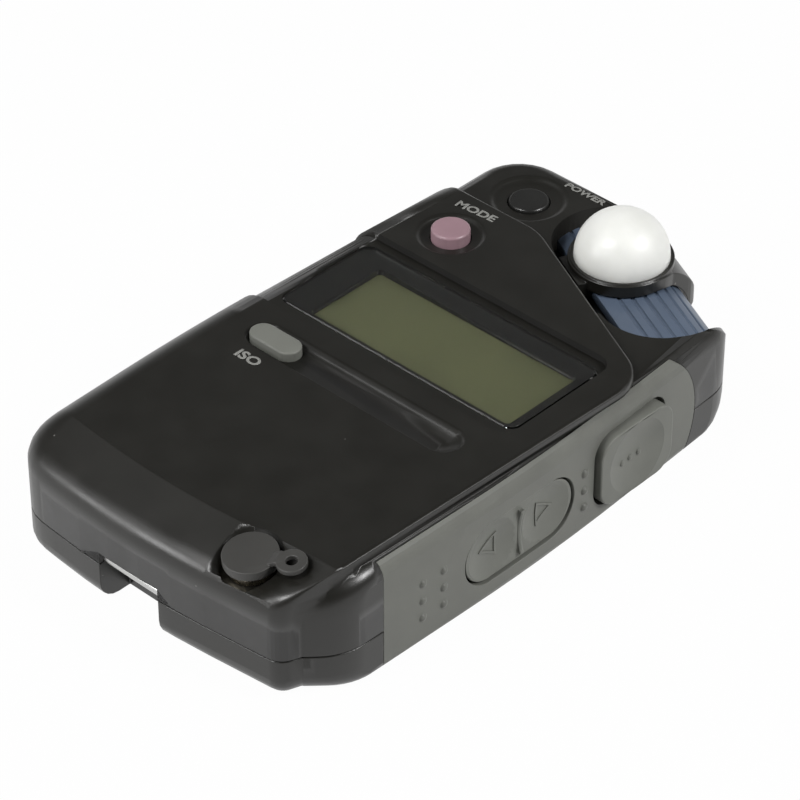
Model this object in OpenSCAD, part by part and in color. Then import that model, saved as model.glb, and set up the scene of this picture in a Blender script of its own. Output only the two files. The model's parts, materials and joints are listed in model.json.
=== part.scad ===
// Handheld light meter: a pocket meter with a sliding white diffuser dome.
// Lies on its back. X is right, Y runs towards the dome, Z rises out of the face.
// The origin is the middle of the back.

/* [Body] */
// Height of the main face above the back
face_z = 21.5; // [20:0.1:24]
// Height of the head deck round the dome
deck_z = 20; // [19.8:0.1:20.3]
// Height of the parting line between the two shells
seam_z = 7.5; // [6.5:0.1:8]
// Thickness of the shell side walls
wall = 2.3; // [1.8:0.1:2.6]
// Thickness of the rear shell floor
floor_t = 1.8; // [1.6:0.1:2]
// Rounding of the left edge of the face
left_round = 6; // [4:0.1:6.5]
// Rounding of the deck edges
deck_round = 3; // [2:0.1:3.4]
// Rounding of the back edges
back_round = 1.5; // [0.8:0.1:1.7]
// Tilt of the slope at the strap end, in degrees
slope_tilt = 22; // [18:0.5:26]

/* [Display] */
// Depth of the shallow channel that holds the window
channel_depth = 1.2; // [0.8:0.1:1.4]
// Thickness of the clear window
pane_t = 1; // [0.8:0.1:1.1]
// Width of the clear window
pane_w = 48.9; // [46:0.1:50]
// Height of the clear window up the face
pane_h = 20.3; // [19.5:0.1:21]
// Width of the display opening
view_w = 41.1; // [38:0.1:43]
// Height of the display opening
view_h = 15.7; // [14:0.1:17]

/* [Keys] */
// Radius of the mode key
mode_r = 3.15; // [2.6:0.05:3.4]
// How far the mode key stands above the face
mode_proud = 1.2; // [0.8:0.1:1.6]
// Radius of the power key
power_r = 3.3; // [2.6:0.05:3.5]
// Length of the film speed key
speed_w = 9.6; // [8:0.1:10.5]
// Width of the film speed key
speed_h = 4.2; // [3.6:0.1:4.6]
// Travel of the face keys
key_travel = 0.4; // [0.3:0.05:0.45]
// Gap round every key
key_gap = 0.2; // [0.15:0.01:0.3]
// Length of the measuring key
measure_w = 16.5; // [14:0.1:17]
// Height of the measuring key
measure_h = 12.6; // [11:0.1:13]
// How far the measuring key stands out
measure_proud = 1.3; // [0.9:0.1:1.5]
// Length of the up and down rocker
rocker_w = 23.2; // [20:0.1:24]
// Height of the up and down rocker
rocker_h = 10.2; // [9:0.1:10.6]

/* [Grip] */
// Thickness of the grey side panel
grip_t = 1.5; // [1.2:0.1:1.7]
// Radius of the rounded end of the side panel
grip_end_r = 14.2; // [13.8:0.1:14.4]

/* [Dome] */
// Radius of the white dome
dome_r = 7.65; // [7.2:0.05:7.7]
// Wall of the white dome
dome_wall = 1.2; // [0.9:0.1:1.5]
// Radius of the carriage ring
ring_r = 8.6; // [8.5:0.05:8.8]
// Height of the slide track below the deck
track_drop = 3; // [2.8:0.05:3.2]
// Thickness of the slide track
track_t = 1.7; // [1.5:0.1:1.9]
// Thickness of the carriage over the track
saddle_t = 2.1; // [1.8:0.1:2.3]
// Gap between the carriage and the track
saddle_gap = 0.3; // [0.2:0.05:0.4]
// Number of fine grooves in the slide track
track_grooves = 6; // [3:1:7]

/* [Socket] */
// Radius of the recess round the flash socket
socket_recess_r = 4.9; // [4.7:0.05:5]
// Outer radius of the flash socket
socket_r = 3.65; // [3.4:0.05:3.8]
// Bore radius of the flash socket
socket_bore_r = 1.75; // [1.6:0.05:1.9]
// Radius of the rubber cap
cap_r = 4.2; // [4.1:0.05:4.4]

/* [Strap] */
// Width of the strap notch
notch_w = 12.1; // [10:0.1:14]
// Depth of the strap notch
notch_d = 5.8; // [5:0.1:6.4]
// Radius of the strap bar
bar_r = 0.95; // [0.8:0.05:1]

/* [Battery] */
// Radius of the cell
cell_r = 7.1; // [6.9:0.05:7.2]
// Length of the cell without its nub
cell_len = 49.2; // [48.5:0.1:49.5]
// Thickness of the battery door
door_t = 1.5; // [1.3:0.1:1.6]

/* [Hidden] */
$fn = 64;

// Running gap between fixed pieces that are pushed together
seat_gap = 0.05;
// Extra length of a cutting shape past the face that it cuts
past = 1;
// Smallest radius kept at a corner when an outline is drawn in
least_r = 0.4;
least_free = 0.05;
// Longest reach of a cut that goes right out of the body
far = 80;
// Open line left at the parting line, and the tongue that closes it from inside
seam_gap = 0.22;
tongue_t = 0.9;
tongue_rise = 1.2;
tongue_gap = 0.1;

// The outlines are drawn for a cell of this length, and the left side moves out with a longer one
aa_len = 49.2;
side_out = max(cell_len - aa_len, 0);

// Outline of the raised face, corner by corner: x, y, radius, steps
END_Y = -54.7;
end_left_in = 1.5;
end_bow = 0.8;
end_right_in = 2.4;
FACE = [[-30.8 - side_out, END_Y + end_left_in, 8, 6], [-5, END_Y - end_bow, 160, 5],
    [24.4, END_Y + end_right_in, 3.4, 6], [27.9, -43, 14, 4],
    [29.8, 19.9, 8, 7], [-7, 37.8, 10, 4], [-29.3 - side_out, 37.8, 2.5, 4],
    [-32 - side_out, -14, 420, 5]];
// Outline of the head deck and of the swelling along the right side
DECK = [[-27.6 - side_out, -49.4, 5, 2], [25.2, -49.4, 2, 2], [30, -44.6, 10, 6], [31.3, -2, 420, 6],
    [28.7, 42.97, 8, 7], [4.03, 55, 14, 4], [-27.3 - side_out, 55, 8.5, 7]];
// Rounding of the back along each edge of the two outlines
end_back = 3.5;
slant_back = 5;
FACE_BACK = [end_back, end_back, end_back, back_round, back_round, back_round, back_round, back_round];
DECK_BACK = [end_back, end_back, back_round, back_round, slant_back, back_round, back_round];
// Outline of the hollow inside, drawn for side walls of this thickness
drawn_wall = 2.3;
HOLLOW = [[-28 - side_out, -44.3, 5, 3], [20.5, -44.3, 4, 3], [26.8, -37.5, 6, 3], [27.2, -2, 300, 3],
    [25.7, 40.3, 4, 3], [1, 52.3, 6, 3], [-25 - side_out, 52.3, 6, 3]];

// Heights of the face and deck above the parting line
end_round = 4;
end_round_z = face_z - 6.2;
ceiling_z = 18.2;
plate_ceiling_z = 19.3;
pocket_at = [-25.5, -42.5];
pocket_size = [50, 35.5];
channel_z = face_z - channel_depth;
crease_round = 0.6;
step_z = [0, 22.5, 45, 67.5, 90];

// Slide frame: turned so that its x runs along the slide and its y out over the slanted end
slide_turn = -26;
roll_q = 43.3;
track_z = deck_z - track_drop;
roll_z = 9;
roll_r = track_z - roll_z;
horn_r = 7.6;
horn_q = 43.6;
horn_z = deck_z - horn_r;
bay_q = 31.3;
bay_left = [-17.7, 41.3, 9.7];
bay_right = [-1, 42, 10];
bay_floor_z = track_z - track_t;
bay_wall = 1.6;
track_edge_q = 35;
track_left = [bay_left[0], bay_left[1], bay_left[2] - 0.1];
groove_first_q = 38;
groove_step = 2;
dome_u = -14.6;
dome_q = 41.6;
carriage_top_z = track_z + saddle_gap + saddle_t;
ring_top_z = carriage_top_z + 0.2;
dome_seat = 0.6;
dome_base_z = ring_top_z - dome_seat;
dome_collar = 0.7;
light_hole_r = 5.6;
tail_q = 53.6;
tail_left = 2.4;
tail_right = 3.6;
tail_room = 3;
tail_round = 4;
saddle_end_z = roll_z + 0.5;
tongue_w = 8;
sensor_u = -15;
sensor_q = 41;
lens_r = 3.2;
tube_gap = 0.45;

// Keys and their places
mode_at = [-16.5, 27.5];
mode_dish_r = 5.75;
power_at = [-15.5, 44.9];
power_dish_r = 6.6;
dish_depth = 0.8;
groove_mid = [-0.25, -11.5];
groove_len = 43.5;
groove_r = 3.3;
groove_depth = 0.8;
speed_at = [-16.4, -11.6];
speed_top_z = face_z + 0.7;
flange = 1;
flange_t = 0.9;
measure_at = [17, 9.3];
measure_round = 3.6;
rocker_at = [-8.3, 9.1];
rocker_pin_x = 28.2;
rocker_pin_r = 0.75;
side_x = 30.75;
rocker_face_x = 30.5;
key_back_x = 27.9;
side_flange_x = 27.6;
side_flange_t = 0.5;
side_flange = 0.8;
key_bed = 0.7;
measure_dish_r = 20;
measure_dish = 1;
rocker_dish_r = 14;
rocker_dish = 1;
rocker_bar = 0.7;
side_stem_x = 26.5;
rocker_stem_x = 26.3;
rocker_reach = 7;
pane_at = [-0.95, 7.85];
view_at = [0.85, 6.85];

// Side panel
grip_start = -36.9;
grip_end = [19.3, 8.3];
dot_r = 0.75;
dot_sink = 0.25;
dot_rows = [11.6, 8.4, 5.2];
dot_columns = [-29, -24.7, 6];

// Boards
board_t = 1.2;
board_z = 11.2;
board_top = board_z + board_t;
lcd_t = 2.1;
lcd_w = view_w + 2.4;
lcd_h = view_h + 5.3;
lcd_top = ceiling_z - seat_gap;
holder_wall = 1.2;
switch_w = 6;
switch_t = 2.6;
side_board_x = 24;
side_board_t = 1;
side_board_y = -18.5;
side_board_len = 42.5;
side_board_h = 13;
// Chips under the board: x, y, width, length, height
CHIPS = [[-6, 0, 10, 10, 1.4], [-18, 4, 5, 4, 1.1], [9, 22, 5, 6, 1.2], [-12, 26, 7, 3, 1.8]];
board_screw_at = [[-23.5, -17], [20, -17], [-21.5, 21.5], [18.5, 21.5]];
board_screw_r = 0.8;
boss_r = 2.1;
case_screw_at = [[-23.5, -40.5], [22.5, -40.5], [-22.3, 49.5], [22.3, 33.5]];
case_screw_r = 1;
case_head_r = 1.9;
case_head_t = 1.2;

// Flash socket, square to the slope
slope_in = end_round * (1 - sin(slope_tilt));
slope_z = end_round_z + end_round * cos(slope_tilt);
crest_in = slope_in + (face_z - slope_z) / tan(slope_tilt);
socket_x = 15.5;
socket_wall_in = 1.7;
socket_wall_y = END_Y + socket_wall_in;
socket_in = 6.1;
socket_y = END_Y + socket_in;
socket_z = face_z - (socket_wall_y + crest_in - socket_y) * tan(slope_tilt);
socket_tilt = 8;
recess_depth = 2;
socket_len = 7.5;
socket_depth = 5;
socket_floor = 1;
insulator_r = 1.3;
pin_r = 0.45;
socket_barrel_r = 2.9;
wire_r = 0.9;
cap_t = 0.95;
cap_lift = 0.15;
cap_skirt = 0.5;
cap_gap = 0.1;
tab_lift = 1.1;
tab_t = 0.85;
tab_at = [6.4, 2.0];
tab_r = 2.3;
tab_hole_r = 0.9;
tab_w = 2.6;
tab_root = 1;

// Strap notch and bar
notch_x = -4.25;
notch_roof_z = 9.5;
bar_in = 1.8;
bar_y = END_Y + bar_in;
bar_drop = 0.65;
bar_z = notch_roof_z - bar_r - bar_drop;
bar_grip = 2.2;

// Battery bay
cell_y = -29;
cell_z = floor_t + 0.5 + cell_r;
cell_nub_r = 2.6;
cell_nub = 1.3;
cell_x = -0.35 - side_out / 2;
contact_t = 0.5;
spring_turns = 2.5;
spring_wire_r = 0.25;
spring_len = 1.8;
spring_r1 = 5;
spring_r2 = 2.6;
cell_bay_left = -26.9 - side_out;
cell_bay_right = 24.6;
sill_z = 3;
cell_gap = 0.7;
rib_t = 2.4;
rib_mid = 9;
door_x = 24.8;
door_y = 8.6;
rail = 0.8;
rail_t = 0.7;
door_gap = 0.15;

// Plain two-dimensional helpers
function unit(v) = v / norm(v);
function left_of(v) = [-v.y, v.x];
function turned(v, a) = [v.x * cos(a) - v.y * sin(a), v.x * sin(a) + v.y * cos(a)];
function corner_xy(c) = [c[0], c[1]];
function edge_way(c, i) = unit(corner_xy(c[(i + 1) % len(c)]) - corner_xy(c[i % len(c)]));

// A corner of an outline after its two edges are drawn in by different amounts
function drawn_in(c, d, i) =
    let (n = len(c), before = (i + n - 1) % n)
    let (a = left_of(edge_way(c, before)), b = left_of(edge_way(c, i)))
    let (area = a.x * b.y - a.y * b.x)
    corner_xy(c[i]) + [d[before] * b.y - d[i] * a.y, a.x * d[i] - b.x * d[before]] / area;

// How far the way turns at p, and the points of one rounded corner there
function turn_at(a, p, b) =
    let (in_way = unit(p - a), out_way = unit(b - p))
    atan2(in_way.x * out_way.y - in_way.y * out_way.x, in_way * out_way);
function corner_arc(a, p, b, r, steps) =
    let (in_way = unit(p - a), turn = turn_at(a, p, b))
    let (start = p - in_way * r * tan(turn / 2), mid = start + left_of(in_way) * r)
    [for (k = [0 : steps]) mid + turned(start - mid, turn * k / steps)];

// An outline with round corners, each edge drawn in by its own amount. A corner's arc
// keeps to the part of its two edges that the arcs next to it leave free.
function outline(c, d) =
    let (n = len(c), p = [for (i = [0 : n - 1]) drawn_in(c, d, i)])
    let (slack = [for (i = [0 : n - 1]) tan(turn_at(p[(i + n - 1) % n], p[i], p[(i + 1) % n]) / 2)])
    let (r = [for (i = [0 : n - 1]) max(least_r, c[i][2] - (d[(i + n - 1) % n] + d[i]) / 2)])
    [for (i = [0 : n - 1])
        let (last = (i + n - 1) % n, next = (i + 1) % n)
        let (free = min(norm(p[i] - p[last]) - r[last] * slack[last],
            norm(p[next] - p[i]) - r[next] * slack[next]))
        each corner_arc(p[last], p[i], p[next], min(r[i], max(free, least_free) / slack[i]), c[i][3])];

function even(c, d) = [for (i = c) d];

// How far a rounded edge has drawn in at height z, for a rounding r that ends at top
function rounding(z, top, r) =
    let (rise = min(max(z - top + r, 0), r))
    r - sqrt(r * r - rise * rise);
// The same for a rounding at the bottom, and edge by edge of an outline
function under_rounding(z, r) = rounding(r - z, r, r);
function back_draw(z, rounds) = [for (r = rounds) under_rounding(z, r)];

// How far the strap end has drawn in at height z
function end_draw(z) = z <= slope_z ? end_round - sqrt(pow(end_round, 2) - pow(max(z - end_round_z, 0), 2))
    : slope_in + (z - slope_z) / tan(slope_tilt);

// Edge by edge draw-in of the face and of the deck at height z
function face_draw(z) =
    let (left = rounding(z, face_z, left_round), edge = rounding(z, face_z, crease_round))
    let (end = max(end_draw(z), edge))
    [end, end, edge, edge, edge, edge, left, left];
function deck_draw(z) =
    let (edge = rounding(z, deck_z, deck_round), flare = rounding(z, deck_z, 2 * deck_round))
    [flare, flare, edge, edge, edge, edge, edge];

// Where the right side of the deck lies at a place along the body
function side_at(y) = y < -20.7 ? 30 + 0.0314 * (y + 43.4) : 30.88 - pow(y + 4, 2) / 840;

// A solid skinned over rings of equal count, each a list of points and a height
module skin(rings) {
    n = len(rings[0][0]);
    top = (len(rings) - 1) * n;
    points = [for (r = rings) for (p = r[0]) [p.x, p.y, r[1]]];
    sides = [for (k = [0 : len(rings) - 2]) for (i = [0 : n - 1])
        let (a = k * n + i, b = k * n + (i + 1) % n)
        each [[a, a + n, b + n], [a, b + n, b]]];
    polyhedron(points, concat([[for (i = [0 : n - 1]) i]], sides, [[for (i = [n - 1 : -1 : 0]) top + i]]));
}

face_levels = concat([seam_z],
    [for (t = [0 : 0.2 : 1]) end_round_z + t * (slope_z - end_round_z)],
    [for (t = [0.3, 0.58, 0.8, 0.94, 1]) slope_z + t * (face_z - slope_z)]);
deck_levels = concat([seam_z, deck_z - 2 * deck_round, deck_z - 1.5 * deck_round],
    [for (a = step_z) deck_z - deck_round * (1 - sin(a))]);
back_levels = concat([for (a = [0, 30, 60, 90]) back_round * (1 - cos(a))],
    [for (t = [0.3, 0.6, 1]) back_round + t * (slant_back - back_round)]);

module face_block() {
    skin([for (z = face_levels) [outline(FACE, face_draw(z)), z]]);
}

module deck_block() {
    skin([for (z = deck_levels) [outline(DECK, deck_draw(z)), z]]);
}

// Rear halves of the same outlines, rounded at the back
module back_block(c, rounds) {
    levels = concat(back_levels, [seam_z - seam_gap]);
    skin([for (z = levels) [outline(c, back_draw(z, rounds)), z]]);
}

module deck_whole() {
    levels = concat(back_levels, deck_levels);
    skin([for (z = levels)
        [outline(DECK, z < seam_z ? back_draw(z, DECK_BACK) : deck_draw(z)), z]]);
}

module prism(points, z0, z1) {
    translate([0, 0, z0]) linear_extrude(z1 - z0) polygon(points);
}

// A flat shape with straight sides and round ends, along x
module slot_shape(w, h) {
    square([w - h, h], center = true);
    for (s = [-1, 1]) translate([s * (w - h) / 2, 0]) circle(d = h);
}

module round_rect(w, h, r) {
    square([w - 2 * r, h], center = true);
    square([w, h - 2 * r], center = true);
    for (x = [-1, 1], y = [-1, 1]) translate([x * (w / 2 - r), y * (h / 2 - r)]) circle(r);
}

// Turns a flat shape drawn in y and z into a bar along x from x0 to x1
module along_x(x0, x1) {
    translate([x0, 0, 0]) rotate([90, 0, 90]) linear_extrude(x1 - x0) children();
}

// A hollow with sloped sides and round ends, sunk from height top
module sunk_slot(len, r, depth, top) {
    low = r - depth;
    run = len - 2 * r;
    for (s = [-1, 1]) translate([s * run / 2, 0, top - depth])
        cylinder(h = depth + past, r1 = low, r2 = r + past);
    along_x(-run / 2, run / 2)
        polygon([[-low, top - depth], [low, top - depth], [r + past, top + past], [-r - past, top + past]]);
}

// Slide frame
module in_slide() {
    rotate([0, 0, slide_turn]) children();
}

// Bar along the slide from u0 to u1, from a shape drawn in q and z
module along_slide(u0, u1) {
    in_slide() along_x(u0, u1) children();
}

// Everything above a track profile: level to the roll, then a quarter round of radius r
module over_profile(q0, r) {
    difference() {
        translate([q0, seam_z - past]) square([far, far]);
        translate([q0 - past, seam_z - 2 * past])
            square([roll_q - q0 + past, roll_z + r - seam_z + 2 * past]);
        translate([roll_q - past, seam_z - 2 * past]) square([r + past, roll_z - seam_z + 2 * past]);
        translate([roll_q, roll_z]) circle(r);
    }
}

module under_profile(q0, r, low) {
    translate([q0, low]) square([roll_q - q0, roll_z + r - low]);
    translate([roll_q, low]) square([r, roll_z - low]);
    intersection() {
        translate([roll_q, roll_z]) circle(r);
        translate([roll_q, low]) square([far, 3 * far]);
    }
}

module bay_shape(grow) {
    translate([bay_left[0], bay_left[1]]) circle(bay_left[2] + grow);
    translate([bay_right[0], bay_right[1]]) circle(bay_right[2] + grow);
    translate([bay_left[0], bay_q - grow]) square([bay_right[0] - bay_left[0], far]);
    translate([bay_left[0] - tail_room - grow, bay_left[1]]) square([bay_right[0] - bay_left[0], far]);
}

module bay_cut() {
    intersection() {
        along_slide(-far, far) over_profile(bay_q - past, roll_r - track_t);
        in_slide() translate([0, 0, seam_z - past]) linear_extrude(far) bay_shape(0);
    }
}

// Walls left standing round and under the slide bay
module bay_block() {
    intersection() {
        along_slide(-far, far) over_profile(bay_q - 4, roll_r - track_t - bay_wall);
        in_slide() translate([0, 0, seam_z - past]) linear_extrude(far) bay_shape(bay_wall);
    }
}

module horn_cut() {
    along_slide(dome_u + ring_r, far) difference() {
        translate([horn_q, horn_z]) square([far, far]);
        translate([horn_q, horn_z]) circle(horn_r);
    }
}

module front_hollow() {
    difference() {
        prism(outline(HOLLOW, even(HOLLOW, wall - drawn_wall)), seam_z - past, ceiling_z);
        bay_block();
        for (p = case_screw_at) translate([p.x, p.y, 0]) cylinder(h = far, r = boss_r + 0.5);
        for (p = board_screw_at) translate([p.x, p.y, board_top]) cylinder(h = far, r = boss_r);
    }
    difference() {
        translate([pocket_at.x, pocket_at.y, ceiling_z - past])
            cube([pocket_size.x, pocket_size.y, plate_ceiling_z - ceiling_z + past]);
        for (p = board_screw_at) translate([p.x, p.y, 0]) cylinder(h = far, r = boss_r);
        for (p = case_screw_at) translate([p.x, p.y, 0]) cylinder(h = far, r = boss_r + 0.5);
    }
}

module window_cut() {
    pane_top = pane_at.y + pane_h / 2;
    channel_low = -5;
    channel_high = pane_top + 1.6;
    mid = (channel_low + channel_high) / 2;
    right = pane_at.x + pane_w / 2 + 1;
    round = 3;
    translate([0, 0, channel_z]) linear_extrude(far) {
        translate([-far, channel_low]) square([far + right - round, channel_high - channel_low]);
        translate([0, channel_low + round]) square([right, channel_high - channel_low - 2 * round]);
        for (y = [channel_low + round, channel_high - round]) translate([right - round, y]) circle(round);
    }
    left_x = -31.3;
    intersection() {
        translate([-far, channel_low, 0]) cube([far, channel_high - channel_low, far]);
        translate([left_x, mid, 0]) rotate([90, 0, -2.3]) translate([0, 0, -far / 2]) linear_extrude(far)
            difference() {
                translate([-far, channel_z - left_round]) square([far + left_round, far]);
                translate([left_round, channel_z - left_round]) circle(left_round);
            }
    }
    translate([pane_at.x, pane_at.y, channel_z - pane_t - seat_gap]) linear_extrude(far)
        round_rect(pane_w + 2 * seat_gap, pane_h + 2 * seat_gap, 2);
    translate([view_at.x, view_at.y, ceiling_z - past]) linear_extrude(far) round_rect(view_w, view_h, 0.8);
}

module face_key_cuts() {
    translate([mode_at.x, mode_at.y, face_z - dish_depth])
        cylinder(h = dish_depth + 0.01, r1 = mode_dish_r - dish_depth * 1.4, r2 = mode_dish_r);
    translate([mode_at.x, mode_at.y, 0]) translate([0, 0, seam_z + past])
        cylinder(h = far, r = mode_r + key_gap);
    translate([mode_at.x, mode_at.y, seam_z + past])
        cylinder(h = plate_ceiling_z - seam_z - past, r = mode_r + flange + 2 * key_gap);
    translate([power_at.x, power_at.y, deck_z - dish_depth])
        cylinder(h = dish_depth + 0.01, r1 = power_dish_r - dish_depth * 1.8, r2 = power_dish_r);
    translate([power_at.x, power_at.y, seam_z + past]) cylinder(h = far, r = power_r + key_gap);
    translate([groove_mid.x, groove_mid.y, 0]) sunk_slot(groove_len, groove_r, groove_depth, face_z);
    translate([speed_at.x, speed_at.y, seam_z + past])
        linear_extrude(far) slot_shape(speed_w + 2 * key_gap, speed_h + 2 * key_gap);
}

// Places a child on the flash socket axis, z out of the slope
module on_socket() {
    translate([socket_x, socket_y, socket_z]) rotate([socket_tilt, 0, 0]) children();
}

module socket_cut() {
    on_socket() {
        translate([0, 0, -recess_depth]) cylinder(h = far, r = socket_recess_r);
        translate([0, 0, -recess_depth - socket_len]) cylinder(h = far, r = socket_barrel_r + seat_gap);
        translate([0, 0, -recess_depth - socket_len + wire_r]) rotate([-90, 0, 0])
            cylinder(h = 7, r = wire_r);
    }
}

module notch_cut() {
    translate([notch_x - notch_w / 2, END_Y - past, -past])
        cube([notch_w, notch_d + past, notch_roof_z + past]);
}

// Round seat of the strap bar, and the way into it from the parting line
module bar_seat() {
    half = notch_w / 2 + bar_grip;
    along_x(notch_x - half, notch_x + half) translate([bar_y, bar_z]) circle(bar_r + seat_gap);
}

module bar_cut() {
    half = notch_w / 2 + bar_grip;
    bar_seat();
    along_x(notch_x - half, notch_x + half) translate([bar_y - bar_r - seat_gap, seam_z - past])
        square([2 * (bar_r + seat_gap), bar_z - seam_z + past]);
}

// Side panel bed, its keys' openings, and the panel's own outline seen from the side
module grip_shape(grow) {
    translate([grip_start - grow, -past]) square([grip_end.x - grip_start + grow, far]);
    translate(grip_end) circle(grip_end_r + grow);
}

module grip_bed() {
    difference() {
        intersection() {
            along_x(20, far) grip_shape(seat_gap);
            translate([20, -60, -past]) cube([far, 120, deck_z + past]);
        }
        prism(outline(DECK, even(DECK, grip_t + seat_gap)), -2 * past, far);
    }
}

module side_key_cuts(extra) {
    along_x(side_flange_x - 4, far) {
        translate(measure_at)
            round_rect(measure_w + 2 * (2 * key_gap + extra), measure_h + 2 * (2 * key_gap + extra),
                measure_round + extra);
        translate(rocker_at)
            slot_shape(rocker_w + 2 * (2 * key_gap + extra), rocker_h + 2 * (2 * key_gap + extra));
    }
}

module rocker_pin_cut() {
    translate([rocker_pin_x, rocker_at.x, rocker_at.y - rocker_h / 2 - 1.25])
        cylinder(h = rocker_h + 2.5, r = rocker_pin_r + 0.03);
}

module case_screw_cuts() {
    for (p = case_screw_at) translate([p.x, p.y, -past]) {
        cylinder(h = seam_z + past + 6, r = case_screw_r + seat_gap);
        cylinder(h = case_head_t + 0.3 + past, r = case_head_r + 0.1);
    }
}

module front_shell() {
    color([0.15, 0.15, 0.14]) difference() {
        union() {
            face_block();
            deck_block();
        }
        front_hollow();
        prism(outline(HOLLOW, even(HOLLOW, wall - drawn_wall - tongue_t - tongue_gap)), seam_z - past,
            seam_z + tongue_rise + tongue_gap);
        horn_cut();
        bay_cut();
        window_cut();
        face_key_cuts();
        socket_cut();
        notch_cut();
        bar_cut();
        grip_bed();
        side_key_cuts(key_bed);
        case_screw_cuts();
        rocker_pin_cut();
        in_slide() translate([sensor_u, sensor_q, roll_z]) cylinder(h = far, r = lens_r + seat_gap);
        for (p = board_screw_at) translate([p.x, p.y, board_z])
            cylinder(h = 4, r = board_screw_r + seat_gap);
    }
}

module door_shape(gap) {
    translate([-far, cell_y - door_y - gap, -past])
        cube([far + door_x + gap, 2 * (door_y + gap), door_t + past + gap]);
    translate([-far, cell_y - door_y - rail - gap, door_t - rail_t - gap])
        cube([far + door_x - 1 + gap, 2 * (door_y + rail + gap), rail_t + 2 * gap]);
}

// Tongue of the rear shell that stands up inside the front shell
module seam_tongue() {
    difference() {
        prism(outline(HOLLOW, even(HOLLOW, wall - drawn_wall - tongue_t)), floor_t, seam_z + tongue_rise);
        prism(outline(HOLLOW, even(HOLLOW, wall - drawn_wall)), 0, far);
    }
}

module rear_shell() {
    color([0.15, 0.15, 0.14]) difference() {
        union() {
            back_block(FACE, FACE_BACK);
            back_block(DECK, DECK_BACK);
            seam_tongue();
        }
        difference() {
            prism(outline(HOLLOW, even(HOLLOW, wall - drawn_wall)), floor_t, far);
            for (p = case_screw_at) translate([p.x, p.y, 0])
                cylinder(h = seam_z - seam_gap, r = boss_r + 0.5);
            for (s = [-1, 1]) translate([-far, cell_y + s * rib_mid - rib_t / 2, 0])
                cube([2 * far, rib_t, seam_z - 0.5]);
            translate([-far, cell_y - cell_r - cell_gap, 0])
                cube([far + cell_bay_left, 2 * (cell_r + cell_gap), sill_z]);
        }
        door_shape(door_gap);
        translate([cell_bay_left, cell_y - cell_r - cell_gap, 0])
            cube([cell_bay_right - cell_bay_left, 2 * (cell_r + cell_gap), far]);
        notch_cut();
        bar_seat();
        grip_bed();
        side_key_cuts(key_bed);
        rocker_pin_cut();
        case_screw_cuts();
    }
}

module side_grip() {
    color([0.47, 0.48, 0.45]) {
        difference() {
            intersection() {
                deck_whole();
                along_x(20, far) grip_shape(0);
            }
            prism(outline(DECK, even(DECK, grip_t)), -past, far);
            side_key_cuts(0);
        }
        for (y = dot_columns, z = dot_rows) translate([side_at(y) - dot_sink, y, z]) sphere(dot_r);
    }
}

module display_window() {
    color([0.2, 0.22, 0.2, 0.5]) translate([pane_at.x, pane_at.y, channel_z - pane_t])
        linear_extrude(pane_t) round_rect(pane_w, pane_h, 2);
}

module lcd_panel() {
    color([0.42, 0.43, 0.33]) {
        translate([view_at.x - lcd_w / 2, view_at.y - lcd_h / 2, lcd_top - lcd_t])
            cube([lcd_w, lcd_h, lcd_t / 2]);
        translate([view_at.x - lcd_w / 2, view_at.y - lcd_h / 2 + 2, lcd_top - lcd_t])
            cube([lcd_w, lcd_h - 2, lcd_t]);
    }
}

module lcd_holder() {
    color([0.25, 0.25, 0.25]) translate([view_at.x, view_at.y, board_top]) difference() {
        linear_extrude(lcd_top - 0.4 - board_top)
            round_rect(lcd_w + 2 * holder_wall + 0.2, lcd_h + 2 * holder_wall + 0.2, 1);
        translate([0, 0, lcd_top - lcd_t - board_top]) linear_extrude(far)
            square([lcd_w + 0.2, lcd_h + 0.2], center = true);
        translate([0, 0, -past]) linear_extrude(far) square([lcd_w - 3, lcd_h - 7], center = true);
        for (s = [-1, 1]) translate([-lcd_w / 2 + 2, s * (lcd_h / 2 - 2) - 1, -past])
            cube([lcd_w - 4, 2, far]);
    }
}

module contact_strips() {
    color([0.8, 0.55, 0.6]) for (s = [-1, 1])
        translate([view_at.x - lcd_w / 2 + 2.2, view_at.y + s * (lcd_h / 2 - 2) - 0.9, board_top])
            cube([lcd_w - 4.4, 1.8, lcd_top - lcd_t - board_top]);
}

module main_board() {
    low = -19.5;
    color([0.1, 0.35, 0.2]) difference() {
        translate([0, 0, board_z]) linear_extrude(board_t) intersection() {
            polygon(outline(HOLLOW, even(HOLLOW, wall - drawn_wall + 0.5)));
            translate([-far, low]) square([far + 23, far]);
            rotate([0, 0, slide_turn]) translate([-far, -far]) square([2 * far, far + 45.5]);
        }
        for (p = board_screw_at) translate([p.x, p.y, 0]) cylinder(h = far, r = board_screw_r + 0.2);
        for (p = case_screw_at) translate([p.x, p.y, 0]) cylinder(h = far, r = boss_r + 0.8);
    }
}

module board_chips() {
    color([0.08, 0.08, 0.08])
        for (c = CHIPS) translate([c[0], c[1], board_z - c[4]]) cube([c[2], c[3], c[4]]);
}

module screw(head_r, head_t, shank_r, len) {
    difference() {
        union() {
            cylinder(h = head_t, r = head_r);
            cylinder(h = head_t + len, r = shank_r);
        }
        for (a = [0, 90]) rotate([0, 0, a]) translate([-head_r * 0.6, -0.25, -past])
            cube([head_r * 1.2, 0.5, past + head_t / 2]);
    }
}

module board_screws() {
    color("silver") for (p = board_screw_at) translate([p.x, p.y, board_z - 0.9])
        screw(1.6, 0.9, board_screw_r, board_t + 2.4);
}

module case_screws() {
    color("dimgray") for (p = case_screw_at) translate([p.x, p.y, 0.3])
        screw(case_head_r, case_head_t, case_screw_r, seam_z + 4);
}

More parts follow.
